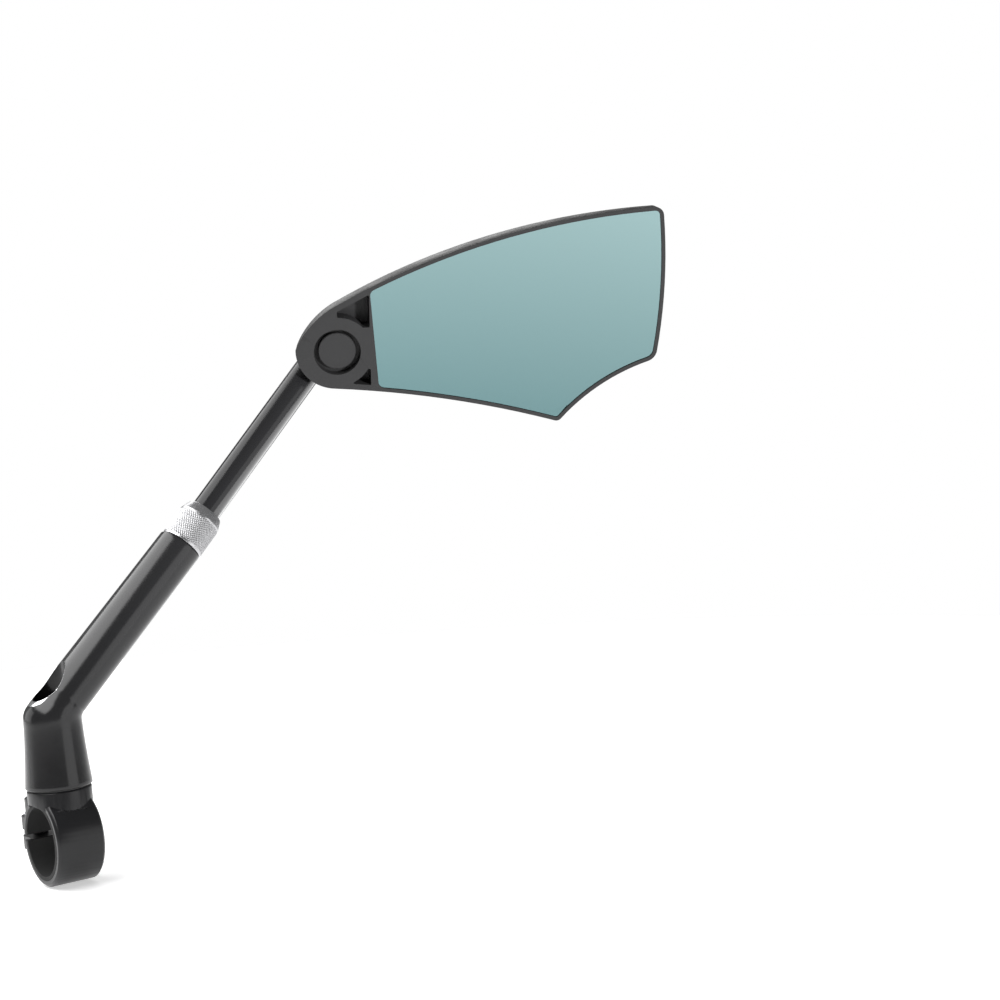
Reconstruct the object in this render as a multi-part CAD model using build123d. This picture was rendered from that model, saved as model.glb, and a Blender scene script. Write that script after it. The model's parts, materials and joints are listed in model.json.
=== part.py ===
from build123d import *
from math import asin, atan2, cos, degrees, radians, sin, tan
import os

# A bicycle handlebar mirror. Millimetres throughout.
# Origin: centre of the clamp's bore. +X runs along the handlebar, outboard. +Z runs up the arm's foot.
# +Y points forward, away from the rider, so the glass faces -Y.

# ---- driving dimensions -------------------------------------------------------------------------

running_gap = 0.05          # radial gap of every running fit
touch_gap = 0.1             # gap between faces that move past each other
bolt_clearance = 0.25       # radial gap round a bolt in a plain hole

# Handlebar clamp
bar_radius = 11.1           # 22.2 mm handlebar
liner_wall = 1.3
band_radius = 14.5
band_width = 16.0
band_slot = 2.0             # the cut that lets the band close
band_chamfer = 0.9
ear_length = 9.5            # how far the ears stand out past the band
ear_width = 11.0
ear_thickness = 4.5
ear_corner = 3.5
clamp_bolt_shift = 0.3      # the pinch bolt stands this far past the middle of the ears
clamp_bolt_radius = 2.5     # M5
clamp_head_radius = 4.25
clamp_head_height = 5.0
clamp_bolt_end = 1.5        # how far the bolt's tip stands below the lower ear
clamp_washer_radius = 4.6
clamp_washer_thickness = 0.8
clamp_nut_radius = 4.0      # to its flats
clamp_nut_thickness = 4.0
clamp_nut_sink = 2.2        # how deep the nut sits in the lower ear
neck_radius = 10.3
neck_top = 16.6

# Arm: an upright foot, an elbow and a slanted tube
seam_height = 17.1          # underside of the foot
foot_base_radius = 10.75
foot_top_radius = 9.3
elbow_height = 37.8         # where the foot's axis meets the rod's axis
arm_bend = 45.0
tube_length = 72.0          # from the elbow to the tube's mouth
tube_mouth_radius = 7.55
tube_mouth_offset = 0.28    # the tube's outside leans away from the rod's axis towards the elbow
tube_root_radius = 7.73
tube_root_depth = 8.6       # the tube starts a little wider across than it is high
tube_root_offset = 1.78
elbow_fillet = 1.6
elbow_reach = (19.95, 18.5, 17.4)       # from the elbow's inside to its outside, at three sections
elbow_half_depth = (9.3, 9.2, 8.95)
edge_chamfer = 0.4
tube_bore_radius = 5.5
tube_bore_start = 16.0      # from the elbow
arm_bolt_radius = 3.0       # M6
arm_bolt_tip = 12.7
arm_head_radius = 5.0
arm_head_height = 6.0
counterbore_radius = 5.6
counterbore_floor = 25.0
washer_radius = 5.4
washer_thickness = 1.2
spring_washer_thickness = 1.5
spring_washer_split = 0.8
spring_washer_slant = 35.0  # the split leans
swivel_washer_radius = 9.75

# Locking collar on the tube's mouth
spigot_radius = 6.2
spigot_length = 9.0
collar_radius = 7.5
collar_length = 14.4
collar_cone_length = 3.2
collar_lip = 0.15           # gap between the collar's mouth and the rod
collar_mouth_wall = 0.85
collar_mouth_length = 1.6
collar_taper_step = 0.7     # inside, a taper widens from the mouth to the thread
collar_taper_end = 4.2
collar_groove_depth = 0.25
knurl_grooves = 40
knurl_margin = 1.0          # plain at each end of the grooves
collet_depth = 6.0          # how far the collet reaches into the tube
collet_nose = 3.4           # and how far it stands out of the spigot
collet_shoulder = 0.8
collet_nose_wall = 0.55
collet_slit = 1.0

# Telescopic rod
rod_radius = 5.0
rod_bore_radius = 3.6
rod_bottom = 52.0           # along the rod's axis, from the elbow
ball_position = 166.3       # ball centre, from the elbow
rod_to_ball = 12.5
bush_length = 7.5
bush_seat_radius = 4.5
plug_flange = 1.8
plug_depth = 6.0
stud_depth = 12.0
stud_flange = 0.8
stud_taper = 1.8            # from the flange down to the neck

# Ball joint
ball_radius = 5.5
neck_of_ball_radius = 3.0
neck_slot_gap = 0.3
socket_radius = 7.0         # outside of the two nylon cups
socket_front_depth = 12.0   # depths count back from the front plane of the head
ball_depth = 20.7
spring_wire_radius = 0.7
spring_radius = 5.2
spring_turns = 2.5
tilt_back = 25.0            # the head tilts this far one way
tilt_forward = 5.0          # and this far the other
swing_each_way = 20.0
rod_half_angle = 28.0       # half the angle that the rod fills, seen from the ball
window_gap = 0.6
window_reach = 24.0

# Head
head_toe_in = 28.5          # the glass is turned towards the rider
head_face_down = 18.6
head_roll = -2.5
rim_width = 1.3
ledge_width = 1.7
side_slant = 7.0            # the head's side wall leans in towards the back
head_length = 120.0         # rough sizes, for shapes that only need to be long enough
head_height = 90.0
glass_recess = 0.5
glass_thickness = 2.0
glass_corner = 2.2
glass_side_top = (11.4, 24.0)           # the glass ends along a line beside the pivot
glass_side_bottom = (14.2, -16.0)
pad_thickness = 0.6
shell_wall = 2.0
rib_thickness = 1.4
rib_count = 5
rib_first = 30.0
rib_spacing = 18.0
long_rib_height = 8.0
dome_depth = 12.0
dome_radius_along = 683.0
dome_radius_across = 171.0
dome_centre = (50.0, 12.0)
boss_ring_radius = 12.2
boss_back_radius = 8.6      # the boss narrows to a round back about the ball
boss_ring_depth = 3.0
fairing_depth = 4.0         # of the fairing's axis
fairing_rise = 0.06
# how far along the head, half height and half depth
fairing_stations = [(0, 8.4, 24.6), (14, 8.4, 21.2), (34, 8.0, 15.6), (58, 6.0, 10.4), (84, 3.0, 6.0)]
pocket_depth = 6.6
pocket_left = 0.2
pocket_right = 11.3
pocket_corner = 0.4
upper_pocket_bottom = 8.4
lower_pocket_top = -6.4
cap_radius = 8.0
cap_groove_depth = 3.8
cap_disc_depth = 1.6
cap_disc_radius = 6.5
cap_back_depth = 5.6

# ---- frames -------------------------------------------------------------------------------------

elbow = Vector(0, 0, elbow_height)
tube_direction = Vector(sin(radians(arm_bend)), 0, cos(radians(arm_bend)))
outward = Vector(-cos(radians(arm_bend)), 0, sin(radians(arm_bend)))

# Local Z of the rod's frame runs up the rod from the elbow, and local X points out of the elbow.
rod_frame = Location(Plane(origin=elbow, x_dir=outward, z_dir=tube_direction))

# Local XY of the head's frame is its front plane, centred on the pivot disc, and local Z faces the rider.
ball_centre = elbow + tube_direction * ball_position
head_turn = Rot(0, 0, -head_toe_in) * Rot(90 + head_face_down, 0, 0) * Rot(0, 0, head_roll)
head_frame = Pos(*ball_centre) * head_turn * Pos(0, 0, ball_depth)

# The rod's direction, seen from the ball in the head's frame.
rod_in_head = (head_turn.inverse() * Pos(*(-tube_direction))).position
rod_turn = degrees(atan2(rod_in_head.Y, rod_in_head.X))
rod_rise = degrees(atan2(rod_in_head.Z, (rod_in_head.X**2 + rod_in_head.Y**2) ** 0.5))


# ---- small helpers ------------------------------------------------------------------------------

def disc(radius, low, high):
    """A cylinder about local Z between two heights."""
    return Pos(0, 0, low) * Cylinder(radius, high - low, align=(Align.CENTER, Align.CENTER, Align.MIN))


def ring(outer, inner, low, high):
    """A tube about local Z between two heights."""
    return disc(outer, low, high) - disc(inner, low - 1, high + 1)


def hexagon(flat_radius, height):
    """A hexagonal prism that stands on local zero."""
    return extrude(RegularPolygon(flat_radius, 6, major_radius=False), height)


def socket_head_screw(radius, head_radius, head_height, length):
    """A socket head cap screw, head up, with the underside of its head at local zero."""
    head = chamfer(disc(head_radius, 0, head_height).edges().group_by(Axis.Z)[-1], edge_chamfer)
    shank = chamfer(disc(radius, -length, 0).edges().group_by(Axis.Z)[0], edge_chamfer)
    key_radius = 0.83 * radius
    socket_floor = 0.45 * head_height
    return head + shank - Pos(0, 0, socket_floor) * hexagon(key_radius, head_height)


# ---- clamp --------------------------------------------------------------------------------------

# The band is split at the front, away from the rider, where two ears carry the pinch bolt.
ear_reach = band_radius + ear_length
bolt_y = band_radius + ear_length / 2 + clamp_bolt_shift
ear_top = ear_thickness + band_slot / 2


def make_clamp_band():
    along_bar = Rot(0, 90, 0)
    band = along_bar * disc(band_radius, -band_width / 2, band_width / 2)
    band = chamfer(band.edges().filter_by(GeomType.CIRCLE), band_chamfer)
    ears = Pos(0, (ear_reach + bar_radius) / 2, 0) * Box(ear_width, ear_reach - bar_radius, 2 * ear_top)
    ears = fillet(ears.edges().filter_by(Axis.Z).sort_by(Axis.Y)[-2:], ear_corner)
    neck = disc(neck_radius, 0, neck_top)
    neck = chamfer(neck.edges().group_by(Axis.Z)[-1], edge_chamfer)
    bore = along_bar * disc(bar_radius + liner_wall, -band_width, band_width)
    slot = Pos(0, ear_reach, 0) * Box(2 * band_width, 2 * ear_reach, band_slot)
    thread = disc(arm_bolt_radius, 0, neck_top + 1)
    bolt_hole = Pos(0, bolt_y, 0) * disc(clamp_bolt_radius, -band_width, band_width)
    nut_pocket = Pos(0, bolt_y, -ear_top) * hexagon(clamp_nut_radius + running_gap, clamp_nut_sink)
    return band + ears + neck - bore - slot - thread - bolt_hole - nut_pocket


def make_clamp_liner():
    sleeve = ring(bar_radius + liner_wall, bar_radius, -band_width / 2, band_width / 2)
    split = Pos(0, band_radius, 0) * Box(band_slot, 2 * band_radius, 2 * band_width)
    return Rot(0, 90, 0) * (sleeve - split)


def make_clamp_washer():
    hole = clamp_bolt_radius + bolt_clearance / 2
    washer = ring(clamp_washer_radius, hole, ear_top, ear_top + clamp_washer_thickness)
    return Pos(0, bolt_y, 0) * washer


def make_clamp_bolt():
    seat = ear_top + clamp_washer_thickness
    length = seat + ear_top + clamp_bolt_end
    screw = socket_head_screw(clamp_bolt_radius, clamp_head_radius, clamp_head_height, length)
    return Pos(0, bolt_y, seat) * screw


def make_clamp_nut():
    top = clamp_nut_sink - ear_top
    nut = Pos(0, 0, top - clamp_nut_thickness) * hexagon(clamp_nut_radius, clamp_nut_thickness)
    return Pos(0, bolt_y, 0) * (nut - disc(clamp_bolt_radius, -band_width, 0))


# ---- arm ----------------------------------------------------------------------------------------

def elbow_sections():
    """Ellipses that fan round the inside of the elbow, from the foot to the tube."""
    foot_side = foot_top_radius + elbow_fillet
    tube_side = tube_root_radius - tube_root_offset + elbow_fillet
    bend = radians(arm_bend)
    pivot_s = (foot_side - tube_side * cos(bend)) / sin(bend)
    pivot = elbow + tube_direction * pivot_s - outward * tube_side
    fan = [0.0, 0.25, 0.5, 0.75, 1.0]
    reach = [foot_side + foot_top_radius, *elbow_reach, elbow_fillet + 2 * tube_root_radius]
    half_depth = [foot_top_radius, *elbow_half_depth, tube_root_depth]
    sections = []
    for share, far, depth in zip(fan, reach, half_depth):
        angle = share * bend
        along = Vector(-cos(angle), 0, sin(angle))
        middle = pivot + along * ((far + elbow_fillet) / 2)
        plane = Plane(origin=middle, x_dir=along, z_dir=Vector(sin(angle), 0, cos(angle)))
        sections.append(plane * Ellipse((far - elbow_fillet) / 2, depth))
    return sections, pivot_s, pivot.Z


def make_arm():
    sections, root_s, foot_top = elbow_sections()
    foot = loft([
        Pos(0, 0, seam_height) * Circle(foot_base_radius),
        Pos(0, 0, foot_top) * Circle(foot_top_radius),
    ])
    foot = chamfer(foot.edges().group_by(Axis.Z)[0], edge_chamfer)
    bend = loft(sections)
    tube = loft([
        rod_frame * Pos(tube_root_offset, 0, root_s) * Ellipse(tube_root_radius, tube_root_depth),
        rod_frame * Pos(tube_mouth_offset, 0, tube_length) * Circle(tube_mouth_radius),
    ])
    tube = chamfer(tube.edges().group_by(Axis(elbow, tube_direction))[-1], edge_chamfer)
    spigot = rod_frame * disc(spigot_radius, tube_length - 4, tube_length + spigot_length)
    rod_bore = rod_frame * disc(tube_bore_radius, tube_bore_start, tube_length + 2 * spigot_length)
    bolt_hole = disc(arm_bolt_radius + bolt_clearance, 0, counterbore_floor + 1)
    counterbore = disc(counterbore_radius, counterbore_floor, 2 * elbow_height)
    return foot + bend + tube + spigot - rod_bore - bolt_hole - counterbore


def make_swivel_washer():
    return ring(swivel_washer_radius, arm_bolt_radius + bolt_clearance, neck_top, seam_height)


def make_arm_washer():
    top = counterbore_floor + washer_thickness
    return ring(washer_radius, arm_bolt_radius + bolt_clearance / 2, counterbore_floor, top)


def make_arm_spring_washer():
    low = counterbore_floor + washer_thickness
    hole = arm_bolt_radius + bolt_clearance / 2
    washer = ring(arm_head_radius - bolt_clearance, hole, low, low + spring_washer_thickness)
    cut = Box(arm_head_radius, spring_washer_split, 3 * arm_head_radius)
    slanted_cut = Pos(arm_head_radius, 0, low) * Rot(spring_washer_slant, 0, 0) * cut
    return washer - slanted_cut


def make_arm_bolt():
    seat = counterbore_floor + washer_thickness + spring_washer_thickness
    screw = socket_head_screw(arm_bolt_radius, arm_head_radius, arm_head_height, seat - arm_bolt_tip)
    return Pos(0, 0, seat) * screw


# ---- collar and rod, made along the rod's axis --------------------------------------------------

def make_collar():
    low = tube_length + 2 * touch_gap
    high = tube_length + collar_length
    shoulder = high - collar_cone_length
    mouth = rod_radius + collar_lip
    inside = spigot_radius + running_gap
    profile = Polyline(
        (inside, low),
        (collar_radius, low),
        (collar_radius, shoulder),
        (mouth + collar_mouth_wall, high),
        (mouth, high),
        (mouth, high - collar_mouth_length),
        (mouth + collar_taper_step, high - collar_mouth_length),
        (inside, high - collar_taper_end),
        close=True,
    )
    collar = revolve(Plane.XZ * make_face(profile), Axis.Z)
    groove_width = 2 * collar_groove_depth
    groove = Rot(0, 0, 45) * Box(groove_width, groove_width, shoulder - low - 2 * knurl_margin)
    groove = Pos(collar_radius, 0, (low + shoulder) / 2) * groove
    collar -= PolarLocations(0, knurl_grooves) * groove
    return rod_frame * collar


def make_collet():
    mouth = tube_length + spigot_length
    inside = rod_radius + running_gap
    skirt = tube_bore_radius - running_gap / 2
    shoulder = spigot_radius - touch_gap
    profile = Polyline(
        (inside, mouth - collet_depth),
        (skirt, mouth - collet_depth),
        (skirt, mouth),
        (shoulder, mouth + running_gap),
        (shoulder, mouth + collet_shoulder),
        (inside + collet_nose_wall, mouth + collet_nose),
        (inside, mouth + collet_nose),
        close=True,
    )
    collet = revolve(Plane.XZ * make_face(profile), Axis.Z)
    slit = Pos(-rod_radius, 0, mouth) * Box(rod_radius, collet_slit, 5 * collet_depth)
    return rod_frame * (collet - slit)


def make_rod():
    top = ball_position - rod_to_ball
    rod = disc(rod_radius, rod_bottom, top)
    rod = chamfer(rod.edges().group_by(Axis.Z)[-1], edge_chamfer)
    seat = ring(rod_radius + 1, bush_seat_radius, rod_bottom - 1, rod_bottom + bush_length)
    return rod_frame * (rod - seat - disc(rod_bore_radius, rod_bottom - 1, top + 1))


def make_rod_bush():
    low = rod_bottom + touch_gap
    high = rod_bottom + bush_length - 2 * touch_gap
    return rod_frame * ring(tube_bore_radius - running_gap, bush_seat_radius + running_gap, low, high)


def make_rod_plug():
    flange = disc(tube_bore_radius - bolt_clearance, rod_bottom - plug_flange, rod_bottom)
    flange = chamfer(flange.edges().group_by(Axis.Z)[0], edge_chamfer)
    return rod_frame * (flange + disc(rod_bore_radius, rod_bottom, rod_bottom + plug_depth))


def make_ball_stud():
    rod_top = ball_position - rod_to_ball
    flange = rod_radius - edge_chamfer
    profile = Polyline(
        (0, rod_top - stud_depth),
        (rod_bore_radius, rod_top - stud_depth),
        (rod_bore_radius, rod_top),
        (flange, rod_top),
        (flange, rod_top + stud_flange),
        (neck_of_ball_radius, rod_top + stud_flange + stud_taper),
        (neck_of_ball_radius, ball_position),
        (0, ball_position),
        close=True,
    )
    stem = revolve(Plane.XZ * make_face(profile), Axis.Z)
    return rod_frame * (stem + Pos(0, 0, ball_position) * Sphere(ball_radius))


# ---- ball joint, made in the head's frame -------------------------------------------------------

def neck_slot():
    """The space the ball's neck sweeps as the head tilts, as wide as the neck."""
    neck_half_angle = degrees(asin(neck_of_ball_radius / ball_radius))
    low = rod_rise - tilt_back - neck_half_angle
    high = rod_rise + tilt_forward + neck_half_angle
    sweep_arc = CenterArc((0, 0), 2 * socket_radius, low, high - low)
    fan = make_face([Line((0, 0), sweep_arc @ 0), sweep_arc, Line(sweep_arc @ 1, (0, 0))])
    fan_solid = extrude(Plane.XZ * fan, neck_of_ball_radius + neck_slot_gap, both=True)
    return Pos(0, 0, -ball_depth) * Rot(0, 0, rod_turn) * fan_solid


def about_ball(radius):
    """A sphere round the ball's centre."""
    return Pos(0, 0, -ball_depth) * Sphere(radius)


def make_socket_front():
    cup = disc(socket_radius, running_gap - ball_depth, -socket_front_depth)
    return head_frame * (cup - about_ball(ball_radius + running_gap) - neck_slot())


def make_socket_rear():
    behind = disc(socket_radius, -ball_depth - socket_radius, -ball_depth - running_gap)
    cup = behind & about_ball(socket_radius)
    return head_frame * (cup - about_ball(ball_radius + running_gap) - neck_slot())


def make_socket_spring():
    low = -socket_front_depth + touch_gap + spring_wire_radius
    high = -cap_back_depth - spring_wire_radius
    coil = Helix(pitch=(high - low) / spring_turns, height=high - low, radius=spring_radius)
    section = Plane(origin=coil @ 0, z_dir=coil % 0) * Circle(spring_wire_radius)
    return head_frame * Pos(0, 0, low) * sweep(section, path=coil)


def make_pivot_cap():
    flange = disc(cap_radius, -cap_back_depth, -cap_groove_depth)
    button = disc(cap_disc_radius, -cap_back_depth, -cap_disc_depth)
    button = fillet(button.edges().group_by(Axis.Z)[-1], edge_chamfer)
    return head_frame * (flange + button)


# ---- head ---------------------------------------------------------------------------------------

nose = (-14.3, 1.2)
brow = (0.5, 16.7)
top_corner = (112.6, 47.0)
low_corner = (111.4, -7.2)
chin = (77.0, -28.8)
jaw = (-1.2, -13.0)


ledge_depth = glass_recess + glass_thickness + pad_thickness
inner_brow = brow[0] + 1.0      # where two arcs of the shell's inside meet smoothly


def head_outline():
    """The front edge of the head: six arcs, with its three corners rounded."""
    edges = [
        ThreePointArc(nose, (-10.4, -8.7), jaw),
        ThreePointArc(jaw, (31.3, -17.4), chin),
        ThreePointArc(chin, (90.7, -16.7), low_corner),
        ThreePointArc(low_corner, (113.8, 17.0), top_corner),
        ThreePointArc(top_corner, (56.6, 38.6), brow),
        ThreePointArc(brow, (-8.7, 9.8), nose),
    ]
    outline = make_face(Wire(edges))
    for corner, radius in ((top_corner, 3.2), (low_corner, 4.5), (chin, 2.2)):
        vertex = outline.vertices().sort_by_distance(Vector(*corner))[0]
        outline = fillet(vertex, radius)
    return outline


def shrink(outline, inset):
    """The outline moved inwards, drawn with arcs again."""
    moved = offset(outline, -inset, kind=Kind.ARC).edges()
    return make_face([ThreePointArc(edge @ 0, edge @ 0.5, edge @ 1) for edge in moved])


def prism(outline, low_depth, high_depth):
    """The outline, extruded between two depths."""
    return extrude(Pos(0, 0, -high_depth) * outline, high_depth - low_depth)


def dome(depth):
    """A large crowned body, whose back lies at the given depth at the dome's centre."""
    inset = dome_depth - depth
    tube = dome_radius_across - inset
    wheel = dome_radius_along - dome_radius_across
    body = Rot(90, 0, 0) * Torus(wheel, tube)
    return Pos(dome_centre[0], dome_centre[1], -depth + wheel + tube) * body


def glass_face(outline, inset):
    """The outline of the glass: the head's outline, cut off beside the pivot."""
    step = inset - rim_width
    beside = Polyline(
        (glass_side_top[0] + step, glass_side_top[1]),
        (glass_side_bottom[0] + step, glass_side_bottom[1]),
        (-head_length, -head_length),
        (-head_length, head_length),
        close=True,
    )
    face = shrink(outline, inset) - make_face(beside)
    corners = face.vertices().sort_by(Axis.X)[:2]
    return fillet(corners, glass_corner)


def window():
    """The opening at the side of the boss that the rod leaves through, as wide as the head can swing."""
    front = radians(rod_rise + tilt_forward)
    back = radians(rod_rise - tilt_back)
    clear = rod_radius + window_gap
    near = socket_radius - window_gap
    profile = Polyline(
        (near, -ball_depth + near * tan(front) + clear / cos(front)),
        (window_reach, -ball_depth + window_reach * tan(front) + clear / cos(front)),
        (window_reach, -ball_depth + window_reach * tan(back) - clear / cos(back)),
        (near, -ball_depth + near * tan(back) - clear / cos(back)),
        close=True,
    )
    spread = 2 * (swing_each_way + rod_half_angle)
    opening = revolve(Plane.XZ * make_face(profile), Axis.Z, revolution_arc=spread)
    return Rot(0, 0, rod_turn - spread / 2) * opening


def boss():
    """The round housing of the ball joint, which narrows to a round back."""
    ball_back = ball_depth + boss_back_radius
    slant = boss_back_radius * sin(radians(45))
    profile = make_face([
        Line((0, -ledge_width), (boss_ring_radius, -ledge_width)),
        Line((boss_ring_radius, -ledge_width), (boss_ring_radius, -boss_ring_depth)),
        Line((boss_ring_radius, -boss_ring_depth), (boss_back_radius, -ball_depth)),
        ThreePointArc((boss_back_radius, -ball_depth), (slant, -ball_depth - slant), (0, -ball_back)),
        Line((0, -ball_back), (0, -ledge_width)),
    ])
    return revolve(Plane.XZ * profile, Axis.Z)


def fairing():
    """The hump on the back that grows from the boss and runs out along the head."""
    sections = []
    for along, half_height, half_depth in fairing_stations:
        centre = (along, fairing_rise * along, -fairing_depth)
        plane = Plane(origin=centre, x_dir=(0, 1, 0), z_dir=(1, 0, 0))
        sections.append(plane * Ellipse(half_height, half_depth))
    behind_front = disc(head_length, -3 * dome_depth, -ledge_depth)
    return loft(sections) & behind_front


def ribs():
    """One long rib and a row of cross ribs, from the ledge to the shell's back."""
    middle = -ledge_depth - dome_depth
    walls = Pos(head_length / 2, long_rib_height, middle) * Box(head_length, rib_thickness, 2 * dome_depth)
    for number in range(rib_count):
        along = rib_first + number * rib_spacing
        walls += Pos(along, dome_centre[1], middle) * Box(rib_thickness, head_height, 2 * dome_depth)
    return walls & dome(dome_depth - shell_wall / 4)


def pocket(outline, side):
    """One pocket: the shell's inside on one side of the boss, with rounded corners."""
    face = (shrink(outline, shell_wall) & side) - Circle(boss_ring_radius)
    corners = face.vertices().filter_by(lambda corner: abs(corner.X - inner_brow) > 0.8)
    return prism(fillet(corners, pocket_corner), -1, pocket_depth)


def pockets(outline):
    """Two open pockets between the boss, the glass and the shell's edge."""
    middle = (pocket_left + pocket_right) / 2
    strip = Rectangle(pocket_right - pocket_left, head_height)
    upper = Pos(middle, upper_pocket_bottom + head_height / 2) * strip
    lower = Pos(middle, lower_pocket_top - head_height / 2) * strip
    return [pocket(outline, upper), pocket(outline, lower)]


def crowned_body(outline):
    """The head's body, with a side wall that leans in, a notch for the rod and a crowned back."""
    block = prism(outline, 0, dome_depth + glass_recess)
    walls = block.faces().filter_by(Axis.Z, reverse=True)
    slanted = draft(walls, Plane.XY, -side_slant).solid()
    return (slanted - window()) & dome(dome_depth)


def make_head_shell():
    outline = head_outline()
    shell = crowned_body(outline) + (boss() - window()) + (fairing() - window())
    shell -= prism(glass_face(outline, rim_width), -1, ledge_depth)
    cavity = prism(glass_face(outline, rim_width + ledge_width), 0, 2 * dome_depth)
    shell -= cavity & dome(dome_depth - shell_wall)
    shell += ribs() & cavity
    shell -= pockets(outline)
    shell -= disc(cap_radius + running_gap, -cap_back_depth, 1)
    shell -= disc(socket_radius + running_gap, -ball_depth, 1)
    shell -= about_ball(socket_radius + running_gap)
    return head_frame * shell


def make_mirror_glass():
    face = glass_face(head_outline(), rim_width)
    return head_frame * prism(face, glass_recess, glass_recess + glass_thickness)


def make_glass_pad():
    face = glass_face(head_outline(), rim_width + ledge_width / 2)
    front = glass_recess + glass_thickness
    return head_frame * prism(face, front, front + pad_thickness)


# ---- writing ------------------------------------------------------------------------------------

makers = {
    "clamp_band": make_clamp_band,
    "clamp_liner": make_clamp_liner,
    "clamp_bolt": make_clamp_bolt,
    "clamp_washer": make_clamp_washer,
    "clamp_nut": make_clamp_nut,
    "swivel_washer": make_swivel_washer,
    "arm": make_arm,
    "arm_bolt": make_arm_bolt,
    "arm_washer": make_arm_washer,
    "arm_spring_washer": make_arm_spring_washer,
    "lock_collar": make_collar,
    "collet": make_collet,
    "rod": make_rod,
    "rod_bush": make_rod_bush,
    "rod_plug": make_rod_plug,
    "ball_stud": make_ball_stud,
    "socket_front": make_socket_front,
    "socket_rear": make_socket_rear,
    "socket_spring": make_socket_spring,
    "pivot_cap": make_pivot_cap,
    "head_shell": make_head_shell,
    "mirror_glass": make_mirror_glass,
    "glass_pad": make_glass_pad,
}

os.makedirs("parts", exist_ok=True)
for name, make in makers.items():
    export_step(make(), f"parts/{name}.step")
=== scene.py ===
import json
from math import atan2, cos, pi, radians, sin

import bmesh
import bpy
from mathutils import Matrix, Vector
from mathutils.bvhtree import BVHTree


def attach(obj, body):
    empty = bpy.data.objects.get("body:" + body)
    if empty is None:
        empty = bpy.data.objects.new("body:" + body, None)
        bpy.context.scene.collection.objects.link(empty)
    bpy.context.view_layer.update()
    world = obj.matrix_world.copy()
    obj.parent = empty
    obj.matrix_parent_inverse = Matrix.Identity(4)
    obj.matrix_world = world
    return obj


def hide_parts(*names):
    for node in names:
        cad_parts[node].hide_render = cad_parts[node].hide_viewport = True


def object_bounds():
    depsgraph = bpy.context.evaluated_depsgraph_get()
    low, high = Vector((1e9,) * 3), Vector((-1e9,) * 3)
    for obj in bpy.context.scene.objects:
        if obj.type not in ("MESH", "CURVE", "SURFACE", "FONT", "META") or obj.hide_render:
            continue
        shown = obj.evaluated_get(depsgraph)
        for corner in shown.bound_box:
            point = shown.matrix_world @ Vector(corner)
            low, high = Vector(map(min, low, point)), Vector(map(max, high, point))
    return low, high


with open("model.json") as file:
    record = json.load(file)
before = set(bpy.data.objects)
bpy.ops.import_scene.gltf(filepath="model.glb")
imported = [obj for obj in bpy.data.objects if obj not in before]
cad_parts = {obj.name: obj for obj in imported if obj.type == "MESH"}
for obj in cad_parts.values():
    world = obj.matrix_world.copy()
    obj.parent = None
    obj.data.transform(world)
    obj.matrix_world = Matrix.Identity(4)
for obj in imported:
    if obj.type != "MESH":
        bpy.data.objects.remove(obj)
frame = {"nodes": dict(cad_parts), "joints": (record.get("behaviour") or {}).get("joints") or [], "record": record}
cad_low, cad_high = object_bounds()

# ---- driving dimensions, in metres --------------------------------------------------------------

mm = 0.001

# The arm's foot, elbow and tube
arm_bend = radians(45)
foot_base_radius = 10.75 * mm
foot_top_radius = 9.3 * mm
foot_taper_power = 1.4      # the foot narrows fastest near its base
elbow_height = 37.8 * mm    # where the foot's axis meets the rod's axis
elbow_fillet = 1.6 * mm
elbow_reach = (19.95 * mm, 18.5 * mm, 17.4 * mm)    # from the elbow's inside to its outside
elbow_half_depth = (9.3 * mm, 9.2 * mm, 8.95 * mm)
tube_root_radius = 7.73 * mm
tube_root_depth = 8.6 * mm
tube_root_offset = 1.78 * mm
tube_mouth_radius = 7.55 * mm
tube_mouth_offset = 0.28 * mm
tube_bore_radius = 5.5 * mm
tube_bore_start = 16.0 * mm
spigot_radius = 6.2 * mm
spigot_length = 9.0 * mm
edge_round = 0.35 * mm
round_steps = 4             # mesh rows round an edge
foot_rows = 22
elbow_rows = 24
tube_rows = 60

# The screw's well down the foot. Its floor and the bolt hole's top count from the foot's underside.
bolt_hole_radius = 3.25 * mm
bolt_hole_top = 8.3 * mm
counterbore_radius = 5.6 * mm
counterbore_floor = 7.9 * mm
cutter_top = 90 * mm        # well above the arm
lip_narrow = 0.15 * mm      # the broken edge of the well's mouth, at its narrowest and its widest
lip_wide = 1.9 * mm
lip_start = 0.5             # it widens where the mouth faces this far towards its low side
lip_power = 0.7
lip_drop = 0.25             # how far it goes down the wall, as a share of its width
lip_crown = 0.3             # how far it bulges towards the corner that it takes away
lip_lift = 0.05 * mm        # it meets the arm's outside at a slight angle
lip_margin = 0.02 * mm

# The locking collar. Its lengths count from its lower end, or back from its nose.
collar_radius = 7.5 * mm
collar_bore = 6.25 * mm
collar_bore_depth = 4.5 * mm
collar_bore_edge = 6.4 * mm
collar_cone_length = 3.2 * mm
collar_nose_radius = 6.15 * mm
collar_mouth_radius = 5.15 * mm
collar_mouth_length = 1.6 * mm
collar_round = 0.3 * mm
knurl_start = 0.7 * mm
knurl_end = 3.6 * mm
knurl_gap = 0.1 * mm
knurl_depth = 0.32 * mm
knurl_diamonds = 58         # in one turn
knurl_stretch = 1.15        # a diamond is this much longer than it is wide
knurl_steps = 6             # mesh columns across one diamond
knurl_fade = 3              # mesh rows in which the knurl runs out at each end
knurl_flat = 0.92           # the grooves have flat bottoms from this share of their width on

# The rod
rod_radius = 5.0 * mm
rod_bore_radius = 3.6 * mm
bush_seat_radius = 4.5 * mm
bush_length = 7.5 * mm
rod_edge_round = 0.4 * mm
rod_rows = 40

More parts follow.
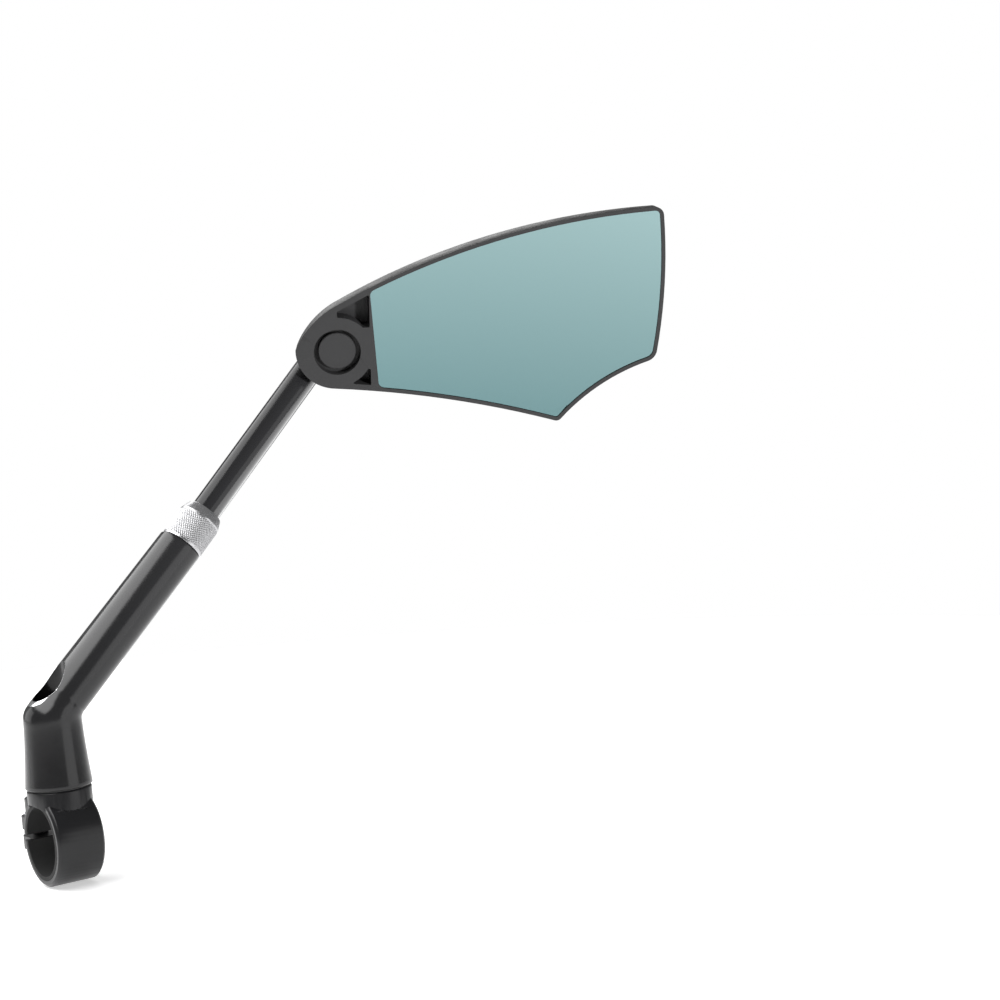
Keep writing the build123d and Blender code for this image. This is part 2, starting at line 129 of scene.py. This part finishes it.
# CAD pieces whose edges are softened, and the width of the rounds
weld_distance = 0.005 * mm
softened_angle = radians(30)
softened = {
    "clamp_band": 0.3 * mm,
    "clamp_bolt": 0.15 * mm,
    "arm_bolt": 0.15 * mm,
    "pivot_cap": 0.2 * mm,
    "head_shell": 0.25 * mm,
    "mirror_glass": 0.3 * mm,
}

# Painted shade on the glass: its colour lightens along this direction, between these distances, standing in for
# its reflection growing brighter towards the top
shade_direction = (0.07, -0.39, 0.94)
shade_start = 0.14
shade_end = 0.22

# ---- places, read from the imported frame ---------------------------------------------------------

joints = {joint["name"]: joint for joint in frame["joints"]}
rod_direction = Vector(joints["rod_slide"]["axis"]).normalized()
ball_centre = Vector(joints["head_tilt"]["pos_m"])
elbow = Vector((0, 0, elbow_height))
outward = Vector((-cos(arm_bend), 0, sin(arm_bend)))


def span(node, origin, direction):
    """How far a CAD node reaches from an origin along a direction, nearest and farthest."""
    reaches = [(vertex.co - origin).dot(direction) for vertex in frame["nodes"][node].data.vertices]
    return min(reaches), max(reaches)


def local_frame(origin, x_axis, z_axis):
    """The matrix of a frame with its local Z and X along the given directions."""
    y_axis = z_axis.cross(x_axis)
    turn = Matrix((x_axis, y_axis, z_axis)).transposed().to_4x4()
    return Matrix.Translation(origin) @ turn


rod_frame = local_frame(elbow, outward, rod_direction)


# ---- camera, lights and backdrop ----------------------------------------------------------------

camera_place = Vector((-0.2466, -0.6071, 0.1324))
camera_azimuth = -35.28
camera_elevation = 3.24
camera_roll = -5.0
lens_length = 72.0
sensor_width = 36.0

arm_middle = Vector((0.03, 0, 0.07))
foot_middle = Vector((0, 0, 0.05))

# Every soft panel's place, target, width, height and radiance
panels = {
    "overhead": (Vector((-0.38, 0.15, 0.75)), arm_middle, 1.6, 0.45, 4.8),
    "front": (Vector((0.27, -0.48, 0.08)), arm_middle, 0.38, 0.24, 1.3),
    "back": (Vector((0.42, 0.66, 0.62)), ball_centre, 0.5, 0.4, 2.6),
    "key": (Vector((0.25, -1.26, -0.10)), ball_centre, 0.12, 0.12, 1250.0),
    "left": (Vector((-0.60, 0.62, 0.28)), foot_middle, 0.7, 0.6, 1.5),
}
strip_place = Vector((0.39, -0.12, -0.01))
strip_target = strip_place + Vector((0, 0, 1))
strip_panel = (strip_place, strip_target, 0.25, 0.6, 5.0)

studio_strength = 0.28
floor_radius = 0.6
floor_gap = 0.5 * mm
floor_segments = 128
floor_albedo = 0.9
floor_glow = 0.5


def make_camera():
    """The camera at the photograph's viewing angle."""
    data = bpy.data.cameras.new("camera")
    data.sensor_width = sensor_width
    data.lens = lens_length
    data.clip_start = 0.01
    data.clip_end = 50.0
    camera = bpy.data.objects.new("camera", data)
    bpy.context.scene.collection.objects.link(camera)
    turn = Matrix.Rotation(radians(camera_azimuth), 4, "Z")
    turn = turn @ Matrix.Rotation(radians(90 - camera_elevation), 4, "X")
    turn = turn @ Matrix.Rotation(radians(camera_roll), 4, "Z")
    camera.matrix_world = Matrix.Translation(camera_place) @ turn
    bpy.context.scene.camera = camera


def make_panel(name, place, target, width, height, radiance):
    """A rectangular soft light that faces its target and isn't seen by the camera."""
    data = bpy.data.lights.new(name, "AREA")
    data.shape = "RECTANGLE"
    data.size = width
    data.size_y = height
    data.energy = radiance * pi * width * height
    panel = bpy.data.objects.new(name, data)
    bpy.context.scene.collection.objects.link(panel)
    panel.location = place
    panel.rotation_euler = (Vector(target) - Vector(place)).to_track_quat("-Z", "Y").to_euler()
    panel.visible_camera = False
    return panel


def make_lights():
    """Soft panels round the object. The key is small and very bright, so nothing mirrors it."""
    for name, panel in panels.items():
        light = make_panel(name, *panel)
        light.visible_glossy = name != "key"


def light_rod(rod):
    """A strip light under the rod's outer side, which only the rod mirrors."""
    strip = make_panel("strip", *strip_panel)
    receivers = bpy.data.collections.new("strip_receivers")
    receivers.objects.link(rod)
    strip.light_linking.receiver_collection = receivers


def make_world():
    """Plain white behind the object, and a dim studio for everything that the light reaches."""
    world = bpy.data.worlds.new("studio")
    world.use_nodes = True
    tree = world.node_tree
    studio = tree.nodes["Background"]
    studio.inputs["Color"].default_value = (1, 1, 1, 1)
    studio.inputs["Strength"].default_value = studio_strength
    backdrop = tree.nodes.new("ShaderNodeBackground")
    backdrop.inputs["Color"].default_value = (1, 1, 1, 1)
    backdrop.inputs["Strength"].default_value = 1.0
    rays = tree.nodes.new("ShaderNodeLightPath")
    mix = tree.nodes.new("ShaderNodeMixShader")
    tree.links.new(rays.outputs["Is Camera Ray"], mix.inputs["Fac"])
    tree.links.new(studio.outputs["Background"], mix.inputs[1])
    tree.links.new(backdrop.outputs["Background"], mix.inputs[2])
    tree.links.new(mix.outputs["Shader"], tree.nodes["World Output"].inputs["Surface"])
    bpy.context.scene.world = world
    bpy.context.scene.view_settings.view_transform = "Standard"


# ---- meshes -------------------------------------------------------------------------------------

def add_object(name, mesh):
    """An object with the mesh, in the scene."""
    piece = bpy.data.objects.new(name, mesh)
    bpy.context.scene.collection.objects.link(piece)
    return piece


def mark_sharp(mesh, angle=35.0):
    """Smooth shading, with sharp edges where faces meet at more than the angle."""
    work = bmesh.new()
    work.from_mesh(mesh)
    bmesh.ops.recalc_face_normals(work, faces=work.faces)
    for face in work.faces:
        face.smooth = True
    for edge in work.edges:
        edge.smooth = len(edge.link_faces) == 2 and edge.calc_face_angle() < radians(angle)
    work.to_mesh(mesh)
    work.free()


def ring_mesh(name, rings, close_start=True, close_end=True):
    """A skin over a row of rings that all have the same number of points."""
    count = len(rings[0])
    vertices = [point for ring in rings for point in ring]
    faces = []
    for row in range(len(rings) - 1):
        for column in range(count):
            after = (column + 1) % count
            low, high = row * count, (row + 1) * count
            faces.append((low + column, low + after, high + after, high + column))
    if close_start:
        faces.append(tuple(reversed(range(count))))
    if close_end:
        faces.append(tuple((len(rings) - 1) * count + column for column in range(count)))
    mesh = bpy.data.meshes.new(name)
    mesh.from_pydata([tuple(vertex) for vertex in vertices], [], faces)
    mesh.update()
    return mesh


def rounded(profile, radius, steps=4):
    """An open line of (radius, height) points with its inner corners rounded."""
    line = [Vector(profile[0])]
    for before, corner, after in zip(profile, profile[1:], profile[2:]):
        corner = Vector(corner)
        back = Vector(before) - corner
        ahead = Vector(after) - corner
        cut = min(radius, back.length * 0.45, ahead.length * 0.45)
        start = corner + back.normalized() * cut
        end = corner + ahead.normalized() * cut
        for step in range(steps + 1):
            share = step / steps
            line.append(start.lerp(corner, share).lerp(corner.lerp(end, share), share))
    line.append(Vector(profile[-1]))
    return line


def lathe(name, profile, place, segments=128):
    """A closed turned piece: the line of (radius, height) points spun about local Z."""
    rings = []
    for radius, height in profile:
        ring = []
        for step in range(segments):
            turn = 2 * pi * step / segments
            ring.append(place @ Vector((radius * cos(turn), radius * sin(turn), height)))
        rings.append(ring)
    mesh = ring_mesh(name, rings)
    mark_sharp(mesh)
    return add_object(name, mesh)


# ---- arm ----------------------------------------------------------------------------------------

def ellipse_ring(centre, x_axis, half_x, half_y, segments):
    """A ring of points in the plane of x_axis and Y, seen from its own upper side."""
    y_axis = Vector((0, -1, 0))
    ring = []
    for step in range(segments):
        turn = 2 * pi * step / segments
        ring.append(centre + x_axis * (half_x * cos(turn)) + y_axis * (half_y * sin(turn)))
    return ring


def blend_through(values, share):
    """A smooth curve through evenly spaced values."""
    place = share * (len(values) - 1)
    first = min(int(place), len(values) - 2)
    part = place - first
    before = values[max(first - 1, 0)]
    low, high = values[first], values[first + 1]
    after = values[min(first + 2, len(values) - 1)]
    a = -before + 3 * low - 3 * high + after
    b = 2 * before - 5 * low + 4 * high - after
    return 0.5 * (2 * low + (high - before) * part + b * part**2 + a * part**3)


def foot_rings(foot_low, foot_high, segments):
    """Round rings from the bolt hole, across the underside and up the foot."""
    places = [(bolt_hole_radius, foot_low + bolt_hole_top), (bolt_hole_radius, foot_low)]
    for share in (0.35, 0.7, 0.9):
        places.append((bolt_hole_radius + (foot_base_radius - bolt_hole_radius) * share, foot_low))
    for step in range(round_steps + 1):
        turn = pi / 2 * step / round_steps
        radius = foot_base_radius - edge_round * (1 - sin(turn))
        places.append((radius, foot_low + edge_round * (1 - cos(turn))))
    side_low = foot_low + edge_round
    for row in range(1, foot_rows):
        share = row / foot_rows
        taper = (foot_base_radius - foot_top_radius) * (1 - share) ** foot_taper_power
        places.append((foot_top_radius + taper, side_low + (foot_high - side_low) * share))
    rings = []
    for radius, height in places:
        rings.append(ellipse_ring(Vector((0, 0, height)), Vector((-1, 0, 0)), radius, radius, segments))
    return rings


def elbow_rings(pivot, segments):
    """Ellipses that fan round the inside of the elbow, from the foot to the tube."""
    reach = [elbow_fillet + 2 * foot_top_radius, *elbow_reach, elbow_fillet + 2 * tube_root_radius]
    depth = [foot_top_radius, *elbow_half_depth, tube_root_depth]
    rings = []
    for row in range(elbow_rows + 1):
        share = row / elbow_rows
        angle = share * arm_bend
        along = Vector((-cos(angle), 0, sin(angle)))
        half = (blend_through(reach, share) - elbow_fillet) / 2
        middle = pivot + along * (elbow_fillet + half)
        rings.append(ellipse_ring(middle, along, half, blend_through(depth, share), segments))
    return rings


def tube_rings(root, mouth, segments):
    """Ellipses up the tube that turn into circles, the rounded mouth, the spigot and the bore."""
    places = []
    for row in range(1, tube_rows + 1):
        share = row / tube_rows
        height = root + (mouth - edge_round - root) * share
        offset = tube_root_offset + (tube_mouth_offset - tube_root_offset) * share
        half_x = tube_root_radius + (tube_mouth_radius - tube_root_radius) * share
        half_y = tube_root_depth + (tube_mouth_radius - tube_root_depth) * share
        places.append((height, offset, half_x, half_y))
    for step in range(1, round_steps + 1):
        turn = pi / 2 * step / round_steps
        radius = tube_mouth_radius - edge_round * (1 - cos(turn))
        places.append((mouth - edge_round * (1 - sin(turn)), tube_mouth_offset, radius, radius))
    places.append((mouth, 0, spigot_radius, spigot_radius))
    places.append((mouth + spigot_length, 0, spigot_radius, spigot_radius))
    places.append((mouth + spigot_length, 0, tube_bore_radius, tube_bore_radius))
    places.append((tube_bore_start, 0, tube_bore_radius, tube_bore_radius))
    rings = []
    for height, offset, half_x, half_y in places:
        centre = elbow + rod_direction * height + outward * offset
        rings.append(ellipse_ring(centre, outward, half_x, half_y, segments))
    return rings


def make_arm(segments=112):
    """The foot, elbow and tube as one smooth skin, with the screw's well cut into it."""
    foot_low, _ = span("arm", Vector((0, 0, 0)), Vector((0, 0, 1)))
    _, spigot_end = span("arm", elbow, rod_direction)
    foot_side = foot_top_radius + elbow_fillet
    tube_side = tube_root_radius - tube_root_offset + elbow_fillet
    root = (foot_side - tube_side * cos(arm_bend)) / sin(arm_bend)
    pivot = elbow + rod_direction * root - outward * tube_side
    rings = foot_rings(foot_low, pivot.z, segments)
    rings += elbow_rings(pivot, segments)
    rings += tube_rings(root, spigot_end - spigot_length, segments)
    mesh = ring_mesh("arm_body", rings)
    mark_sharp(mesh)
    arm = add_object("arm_body", mesh)
    cut_counterbore(arm, foot_low)
    return arm


def upper_side(tree, radius, turn):
    """The arm's upper side at a radius and a turn about the foot's axis, as (radius, height)."""
    start = Vector((radius * cos(turn), radius * sin(turn), cutter_top))
    point = tree.ray_cast(start, Vector((0, 0, -1)))[0]
    return Vector((radius, point.z))


def lip_width(turn):
    """The broken edge of the well's mouth is wide at the low side only, where the edge is sharp."""
    sharpness = max(0.0, -cos(turn) - lip_start) / (1 - lip_start)
    return lip_narrow + (lip_wide - lip_narrow) * sharpness ** lip_power


def is_on_lip(point):
    """Whether a point lies between the well's wall and the outer end of the broken edge."""
    across = Vector((point.x, point.y))
    reach = counterbore_radius + lip_width(atan2(across.y, across.x))
    return counterbore_radius - lip_margin < across.length < reach + lip_margin


def cutter_profile(tree, floor, turn, steps=6):
    """One side of the cutter: the well's wall, the broken edge and a straight rise."""
    width = lip_width(turn)
    corner = upper_side(tree, counterbore_radius, turn)
    inside = corner - Vector((0, lip_drop * width))
    outside = upper_side(tree, counterbore_radius + width, turn) + Vector((0, lip_lift))
    crown = inside.lerp(outside, 0.5).lerp(corner, lip_crown)
    profile = [Vector((counterbore_radius, floor))]
    for step in range(steps + 1):
        share = step / steps
        profile.append(inside.lerp(crown, share).lerp(crown.lerp(outside, share), share))
    profile.append(Vector((outside.x, cutter_top)))
    return profile


def counterbore_cutter(tree, floor, segments=160):
    """A plug for the screw's well, whose flare breaks the mouth's edge."""
    turns = [2 * pi * step / segments for step in range(segments)]
    profiles = [cutter_profile(tree, floor, turn) for turn in turns]
    rings = []
    for row in range(len(profiles[0])):
        ring = []
        for turn, profile in zip(turns, profiles):
            radius, height = profile[row]
            ring.append(Vector((radius * cos(turn), radius * sin(turn), height)))
        rings.append(ring)
    mesh = ring_mesh("counterbore_cutter", rings)
    mark_sharp(mesh)
    return add_object("counterbore_cutter", mesh)


def mark_bare_edge(mesh):
    """Marks the faces of the well's broken edge, which the arm's material shows as bare metal."""
    bare = mesh.attributes.new("bare_edge", "FLOAT", "FACE")
    for face in mesh.polygons:
        corners = [mesh.vertices[index].co for index in face.vertices]
        off_wall = Vector((face.center.x, face.center.y)).length > counterbore_radius + lip_margin
        above = face.center.z > elbow_height
        on_lip = all(is_on_lip(corner) for corner in corners)
        bare.data[face.index].value = float(off_wall and above and on_lip)


def cut_counterbore(arm, foot_low):
    """Bores the screw's well down the foot."""
    graph = bpy.context.evaluated_depsgraph_get()
    tree = BVHTree.FromObject(arm, graph)
    cutter = counterbore_cutter(tree, foot_low + counterbore_floor)
    modifier = arm.modifiers.new("counterbore", "BOOLEAN")
    modifier.operation = "DIFFERENCE"
    modifier.solver = "EXACT"
    modifier.object = cutter
    graph = bpy.context.evaluated_depsgraph_get()
    cut = bpy.data.meshes.new_from_object(arm.evaluated_get(graph))
    arm.modifiers.remove(modifier)
    arm.data = cut
    bpy.data.objects.remove(cutter)
    mark_sharp(cut)
    mark_bare_edge(cut)


# ---- collar and rod -----------------------------------------------------------------------------

def knurl_ring(row, rows, height):
    """One ring of (radius, height) points through two sets of crossing grooves."""
    fade = min(1.0, row / knurl_fade, (rows - row) / knurl_fade)
    up = row / knurl_steps
    ring = []
    for column in range(knurl_diamonds * knurl_steps):
        around = column / knurl_steps
        left = abs((around + up) % 1.0 - 0.5) * 2
        right = abs((around - up) % 1.0 - 0.5) * 2
        groove = min(max(left, right), knurl_flat) ** 2
        ring.append((collar_radius - knurl_depth * (0.5 + (groove - 0.5) * fade), height))
    return ring


def make_collar():
    """The knurled collar, from its bore round the outside to the mouth in its nose."""
    low, high = span("lock_collar", elbow, rod_direction)
    knurl_low = low + knurl_start
    knurl_high = high - knurl_end
    plain_radius = collar_radius - knurl_depth / 2
    segments = knurl_diamonds * knurl_steps
    diamond = 2 * pi * collar_radius / knurl_diamonds * knurl_stretch
    rows = int((knurl_high - knurl_low) / diamond * knurl_steps)
    bore = [(collar_bore, high - collar_bore_depth), (collar_bore, low)]
    skirt = [
        (collar_bore_edge - knurl_depth / 2, low),
        (plain_radius, low),
        (plain_radius, knurl_low),
    ]
    nose = [
        (plain_radius, knurl_high + knurl_gap),
        (plain_radius, high - collar_cone_length),
        (collar_nose_radius, high),
        (collar_mouth_radius, high),
        (collar_mouth_radius, high - collar_mouth_length),
    ]
    rings = [[place] * segments for place in bore + rounded(skirt, collar_round)]
    for row in range(rows + 1):
        height = knurl_low + (knurl_high - knurl_low) * row / rows
        rings.append(knurl_ring(row, rows, height))
    rings += [[place] * segments for place in rounded(nose, collar_round)]
    points = []
    for ring in rings:
        row = []
        for column, (radius, height) in enumerate(ring):
            turn = 2 * pi * column / segments
            row.append(rod_frame @ Vector((radius * cos(turn), radius * sin(turn), height)))
        points.append(row)
    mesh = ring_mesh("collar", points, close_start=False, close_end=False)
    mark_sharp(mesh, 50)
    return add_object("collar", mesh)


def make_rod():
    """The rod, with the seat of its bush at the lower end."""
    low, high = span("rod", elbow, rod_direction)
    seat = low + bush_length
    profile = [
        (rod_bore_radius, low),
        (bush_seat_radius, low),
        (bush_seat_radius, seat),
        (rod_radius, seat),
    ]
    for row in range(1, rod_rows):
        profile.append((rod_radius, seat + (high - seat) * row / rod_rows))
    profile += [(rod_radius, high), (rod_bore_radius, high)]
    return lathe("rod_tube", rounded(profile, rod_edge_round, 3), rod_frame, 96)


# ---- materials ----------------------------------------------------------------------------------

class Surface:
    """A node material with small helpers, so that each recipe below stays short."""

    def __init__(self, name, colour, roughness, metallic=0.0, specular=0.5):
        self.material = bpy.data.materials.new(name)
        self.material.use_nodes = True
        self.tree = self.material.node_tree
        self.shader = self.tree.nodes["Principled BSDF"]
        self.shader.inputs["Base Color"].default_value = (*colour, 1)
        self.shader.inputs["Roughness"].default_value = roughness
        self.shader.inputs["Metallic"].default_value = metallic
        self.shader.inputs["Specular IOR Level"].default_value = specular
        self.place = self.tree.nodes.new("ShaderNodeTexCoord").outputs["Object"]

    def noise(self, scale, detail=4.0, roughness=0.6):
        """Soft random variation over the object."""
        node = self.tree.nodes.new("ShaderNodeTexNoise")
        node.inputs["Scale"].default_value = scale
        node.inputs["Detail"].default_value = detail
        node.inputs["Roughness"].default_value = roughness
        self.tree.links.new(self.place, node.inputs["Vector"])
        return node.outputs["Fac"]

    def ramp(self, value, low, high, from_low=0.35, from_high=0.65):
        """The value, stretched from one range to another."""
        node = self.tree.nodes.new("ShaderNodeMapRange")
        node.inputs["From Min"].default_value = from_low
        node.inputs["From Max"].default_value = from_high
        node.inputs["To Min"].default_value = low
        node.inputs["To Max"].default_value = high
        self.tree.links.new(value, node.inputs["Value"])
        return node.outputs["Result"]

    def along(self, direction, start, end):
        """A rise from 0 to 1 along a direction of the object, between two distances along it."""
        node = self.tree.nodes.new("ShaderNodeVectorMath")
        node.operation = "DOT_PRODUCT"
        node.inputs[1].default_value = direction
        self.tree.links.new(self.place, node.inputs[0])
        return self.ramp(node.outputs["Value"], 0.0, 1.0, start, end)

    def roughness(self, value):
        """Lets a value drive the roughness."""
        self.tree.links.new(value, self.shader.inputs["Roughness"])

    def colour_between(self, factor, dark, light):
        """Lets a value from 0 to 1 drive the colour."""
        node = self.tree.nodes.new("ShaderNodeMix")
        node.data_type = "RGBA"
        node.inputs[6].default_value = (*dark, 1)
        node.inputs[7].default_value = (*light, 1)
        self.tree.links.new(factor, node.inputs[0])
        self.tree.links.new(node.outputs[2], self.shader.inputs["Base Color"])

    def bare_where(self, name, colour, bare_colour):
        """Shows bare metal on the faces that a named attribute marks."""
        node = self.tree.nodes.new("ShaderNodeAttribute")
        node.attribute_name = name
        self.colour_between(node.outputs["Fac"], colour, bare_colour)
        self.tree.links.new(node.outputs["Fac"], self.shader.inputs["Metallic"])

    def bump(self, height, strength, distance):
        """Lets a value shade the surface as if it were raised."""
        node = self.tree.nodes.new("ShaderNodeBump")
        node.inputs["Strength"].default_value = strength
        node.inputs["Distance"].default_value = distance
        self.tree.links.new(height, node.inputs["Height"])
        self.tree.links.new(node.outputs["Normal"], self.shader.inputs["Normal"])


def moulded_plastic(name, colour, grain=2600.0, roughness=0.5):
    """Dull plastic or rubber with a fine moulded grain and faint patches."""
    surface = Surface(name, colour, roughness, specular=0.35)
    grain_noise = surface.noise(grain, 2.0)
    patches = surface.noise(90.0, 3.0)
    darker = tuple(channel * 0.88 for channel in colour)
    lighter = tuple(channel * 1.12 for channel in colour)
    surface.roughness(surface.ramp(patches, roughness - 0.06, roughness + 0.08))
    surface.colour_between(surface.ramp(patches, 0.0, 1.0), darker, lighter)
    surface.bump(grain_noise, 0.25, 0.04 * mm)
    return surface.material


def satin_black(name, colour, roughness, specular, grain=5200.0, grain_depth=0.12, bare=None):
    """A smooth black finish on metal. The bare colour is for edges that were cut after finishing."""
    surface = Surface(name, colour, roughness, specular=specular)
    clouds = surface.noise(60.0, 5.0)
    surface.roughness(surface.ramp(clouds, roughness - 0.03, roughness + 0.05))
    surface.bump(surface.noise(grain, 2.0), grain_depth, 0.02 * mm)
    if bare:
        surface.bare_where("bare_edge", colour, bare)
    return surface.material


def bare_metal(name, colour, roughness):
    """Unpainted metal with a slightly uneven polish."""
    surface = Surface(name, colour, roughness, metallic=1.0)
    surface.roughness(surface.ramp(surface.noise(900.0, 3.0), roughness - 0.05, roughness + 0.1))
    return surface.material


def tinted_mirror_with_painted_shade(name, shaded_tint, lit_tint):
    """A teal tinted mirror with painted shade: its colour is a little darker towards its lower edge, standing in
    for a dimmer reflection there.
    """
    surface = Surface(name, shaded_tint, 0.05, metallic=1.0)
    # painted shade: the colour blends from the darker tint low on the glass to the lighter one higher up
    rise = surface.along(shade_direction, shade_start, shade_end)
    surface.colour_between(rise, shaded_tint, lit_tint)
    return surface.material


def make_materials():
    """One material for each of the record's material slots."""
    aluminium = (0.6, 0.6, 0.61)
    return {
        "anodised_black": satin_black("anodised_black", (0.008, 0.008, 0.009), 0.3, 0.35),
        "liner_rubber": moulded_plastic("liner_rubber", (0.012, 0.012, 0.012), 1500.0, 0.75),
        "black_steel": satin_black("black_steel", (0.012, 0.012, 0.013), 0.32, 0.5),
        "zinc_steel": bare_metal("zinc_steel", (0.55, 0.56, 0.58), 0.3),
        "washer_nylon": moulded_plastic("washer_nylon", (0.02, 0.02, 0.02)),
        "arm_black": satin_black("arm_black", (0.0075, 0.0075, 0.008), 0.18, 0.42, bare=aluminium),
        "collar_aluminium": bare_metal("collar_aluminium", (0.5, 0.5, 0.51), 0.27),
        "collet_nylon": moulded_plastic("collet_nylon", (0.03, 0.03, 0.03)),
        "rod_black": satin_black("rod_black", (0.007, 0.007, 0.0075), 0.12, 0.26, 2400.0, 0.5),
        "ball_steel": bare_metal("ball_steel", (0.7, 0.7, 0.72), 0.12),
        "socket_nylon": moulded_plastic("socket_nylon", (0.025, 0.025, 0.025)),
        "spring_steel": bare_metal("spring_steel", (0.5, 0.5, 0.52), 0.25),
        "cap_plastic": moulded_plastic("cap_plastic", (0.0102, 0.0102, 0.0105)),
        "shell_plastic": moulded_plastic("shell_plastic", (0.0102, 0.0102, 0.0105)),
        # the mirror's two colours are the darker and lighter ends of its painted shade
        "mirror_teal": tinted_mirror_with_painted_shade("mirror_teal", (0.135, 0.235, 0.245), (0.257, 0.375, 0.38)),
        "pad_foam": moulded_plastic("pad_foam", (0.02, 0.02, 0.02), 1200.0, 0.85),
    }


def paint(piece, material):
    """Gives a piece its only material."""
    piece.data.materials.clear()
    piece.data.materials.append(material)


def soften_edges(node, width):
    """Small rounds on the sharp edges of a CAD piece, so that they catch the light."""
    weld = node.modifiers.new("weld", "WELD")
    weld.merge_threshold = weld_distance
    bevel = node.modifiers.new("bevel", "BEVEL")
    bevel.limit_method = "ANGLE"
    bevel.angle_limit = softened_angle
    bevel.width = width
    bevel.segments = 2
    bevel.harden_normals = True


def make_floor():
    """A round pale table, bright enough to melt into the background."""
    height = cad_low.z - floor_gap
    corners = []
    for step in range(floor_segments):
        turn = 2 * pi * step / floor_segments
        corners.append((floor_radius * cos(turn), floor_radius * sin(turn), height))
    mesh = bpy.data.meshes.new("floor")
    mesh.from_pydata(corners, [], [tuple(range(floor_segments))])
    floor = add_object("floor", mesh)
    surface = Surface("floor", (floor_albedo, floor_albedo, floor_albedo), 0.8, specular=0.1)
    surface.roughness(surface.ramp(surface.noise(4.0, 3.0), 0.75, 0.85))
    surface.shader.inputs["Emission Color"].default_value = (1, 1, 1, 1)
    surface.shader.inputs["Emission Strength"].default_value = floor_glow
    paint(floor, surface.material)


# ---- building -----------------------------------------------------------------------------------

make_camera()
make_world()
make_lights()
make_floor()
materials = make_materials()

slots = {part["node"]: part["material_slot"] for part in frame["record"]["subparts"]}
for name, node in frame["nodes"].items():
    paint(node, materials[slots[name]])
for name, width in softened.items():
    soften_edges(frame["nodes"][name], width)

# Each rebuilt piece: what makes it, the body that carries it and the CAD node that it stands for
rebuilt = [(make_arm, "arm", "arm"), (make_collar, "collar", "lock_collar"), (make_rod, "rod", "rod")]
for maker, body, node in rebuilt:
    piece = maker()
    if node == "rod":
        light_rod(piece)
    paint(piece, materials[slots[node]])
    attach(piece, body)
    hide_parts(node)
